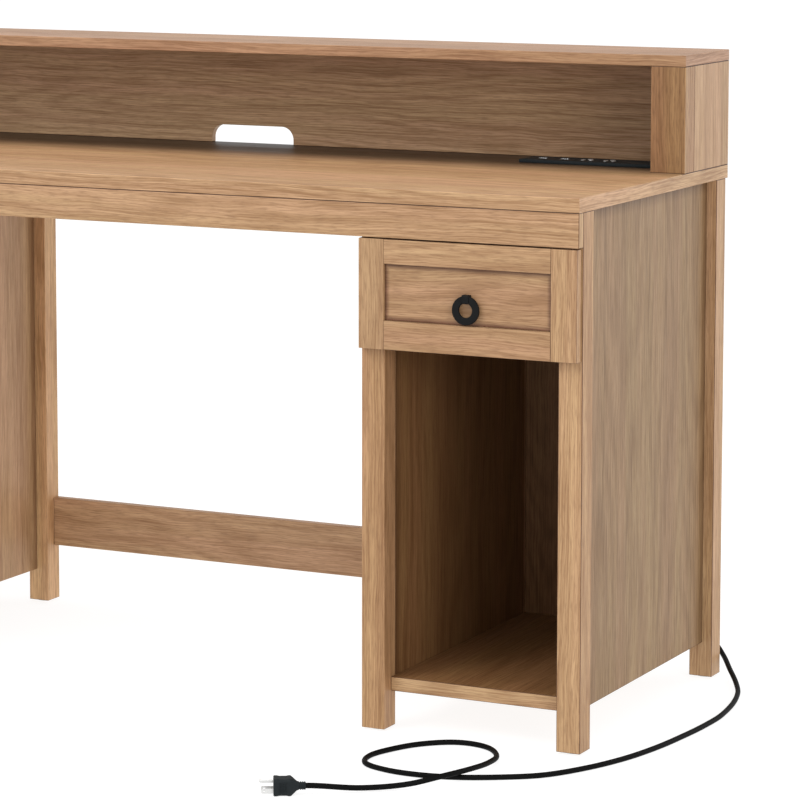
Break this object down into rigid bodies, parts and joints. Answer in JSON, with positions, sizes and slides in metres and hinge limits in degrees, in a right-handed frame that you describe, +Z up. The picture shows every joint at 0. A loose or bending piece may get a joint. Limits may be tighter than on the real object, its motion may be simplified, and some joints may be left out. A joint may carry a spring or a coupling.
{
  "type": "teacher desk",
  "caption": "Double pedestal oak-look desk with drawers on slides, an open bay, a monitor shelf with a cable notch and a built-in power strip with its cord.",
  "frame": {"origin": "on the floor under the middle of the desk, halfway between the pull lugs' fronts and the desktop's back edge", "axes": "+Z up, -Y towards the sitter, +X to the sitter's right"},
  "size_m": [1.6696, 0.929, 0.928],
  "materials": {
    "oak_top": "satin oak-look laminate, grain along the width",
    "oak_front": "satin oak-look laminate",
    "oak_leg": "satin oak-look laminate, upright grain",
    "oak_side": "satin oak-look laminate, upright grain",
    "oak_back": "satin oak-look laminate, darker",
    "drawer_board": "plain laminated drawer board",
    "zinc_steel": "zinc plated",
    "black_metal": "matte black",
    "black_plastic": "matte moulded",
    "cord_jacket": "smooth matte jacket",
    "plug_metal": "nickel plated",
    "white_glide": "plain"
  },
  "bodies": {
    "desk": {"desktop": "oak_top", "shelf_top": "oak_top", "left_bottom_panel": "oak_top", "right_bottom_panel": "oak_top", "front_apron": "oak_front", "kneehole_crossbar": "oak_front", "left_shelf_post": "oak_front", "right_shelf_post": "oak_front", "left_outer_front_leg": "oak_leg", "left_inner_front_leg": "oak_leg", "left_outer_rear_leg": "oak_leg", "left_inner_rear_leg": "oak_leg", "right_outer_front_leg": "oak_leg", "right_inner_front_leg": "oak_leg", "right_outer_rear_leg": "oak_leg", "right_inner_rear_leg": "oak_leg", "left_outer_side_panel": "oak_side", "left_kneehole_side_panel": "oak_side", "left_shelf_side_panel": "oak_side", "right_outer_side_panel": "oak_side", "right_kneehole_side_panel": "oak_side", "right_shelf_side_panel": "oak_side", "left_back_panel": "oak_back", "right_back_panel": "oak_back", "shelf_back_panel": "oak_back", "bay_top_panel": "oak_back", "left_cabinet_slides": "zinc_steel", "right_cabinet_slides": "zinc_steel", "usb_ports": "zinc_steel", "strip_housing": "black_plastic", "ac_outlets": "black_plastic", "cord_gland": "black_plastic", "plug_body": "black_plastic", "power_cord": "cord_jacket", "plug_blades": "plug_metal", "foot_glides": "white_glide"},
    "right_drawer": {"right_drawer_front": "oak_front", "right_drawer_box": "drawer_board", "right_drawer_bottom": "drawer_board", "right_drawer_slides": "zinc_steel", "right_drawer_pull_lug": "black_metal"},
    "right_drawer_ring": {"right_drawer_pull_ring": "black_metal"},
    "left_top_drawer": {"left_top_drawer_front": "oak_front", "left_top_drawer_box": "drawer_board", "left_top_drawer_bottom": "drawer_board", "left_top_drawer_slides": "zinc_steel", "left_top_drawer_pull_lug": "black_metal"},
    "left_top_drawer_ring": {"left_top_drawer_pull_ring": "black_metal"},
    "left_middle_drawer": {"left_middle_drawer_front": "oak_front", "left_middle_drawer_box": "drawer_board", "left_middle_drawer_bottom": "drawer_board", "left_middle_drawer_slides": "zinc_steel", "left_middle_drawer_pull_lug": "black_metal"},
    "left_middle_drawer_ring": {"left_middle_drawer_pull_ring": "black_metal"},
    "file_drawer": {"file_drawer_front": "oak_front", "file_drawer_box": "drawer_board", "file_drawer_bottom": "drawer_board", "file_drawer_slides": "zinc_steel", "file_drawer_pull_lug": "black_metal"},
    "file_drawer_ring": {"file_drawer_pull_ring": "black_metal"}
  },
  "joints": [
    {"name": "right_drawer_slide", "type": "slide", "parent": "desk", "child": "right_drawer", "axis": [0, -1, 0], "range_m": [0, 0.3]},
    {"name": "right_drawer_ring_swing", "type": "hinge", "parent": "right_drawer", "child": "right_drawer_ring", "pos_m": [0.62, -0.274, 0.6155], "axis": [-1, 0, 0], "range_deg": [0, 100]},
    {"name": "left_top_drawer_slide", "type": "slide", "parent": "desk", "child": "left_top_drawer", "axis": [0, -1, 0], "range_m": [0, 0.3]},
    {"name": "left_top_drawer_ring_swing", "type": "hinge", "parent": "left_top_drawer", "child": "left_top_drawer_ring", "pos_m": [-0.574, -0.274, 0.6155], "axis": [-1, 0, 0], "range_deg": [0, 100]},
    {"name": "left_middle_drawer_slide", "type": "slide", "parent": "desk", "child": "left_middle_drawer", "axis": [0, -1, 0], "range_m": [0, 0.3]},
    {"name": "left_middle_drawer_ring_swing", "type": "hinge", "parent": "left_middle_drawer", "child": "left_middle_drawer_ring", "pos_m": [-0.574, -0.274, 0.4615], "axis": [-1, 0, 0], "range_deg": [0, 100]},
    {"name": "file_drawer_slide", "type": "slide", "parent": "desk", "child": "file_drawer", "axis": [0, -1, 0], "range_m": [0, 0.3]},
    {"name": "file_drawer_ring_swing", "type": "hinge", "parent": "file_drawer", "child": "file_drawer_ring", "pos_m": [-0.574, -0.274, 0.22], "axis": [-1, 0, 0], "range_deg": [0, 100]}
  ]
}
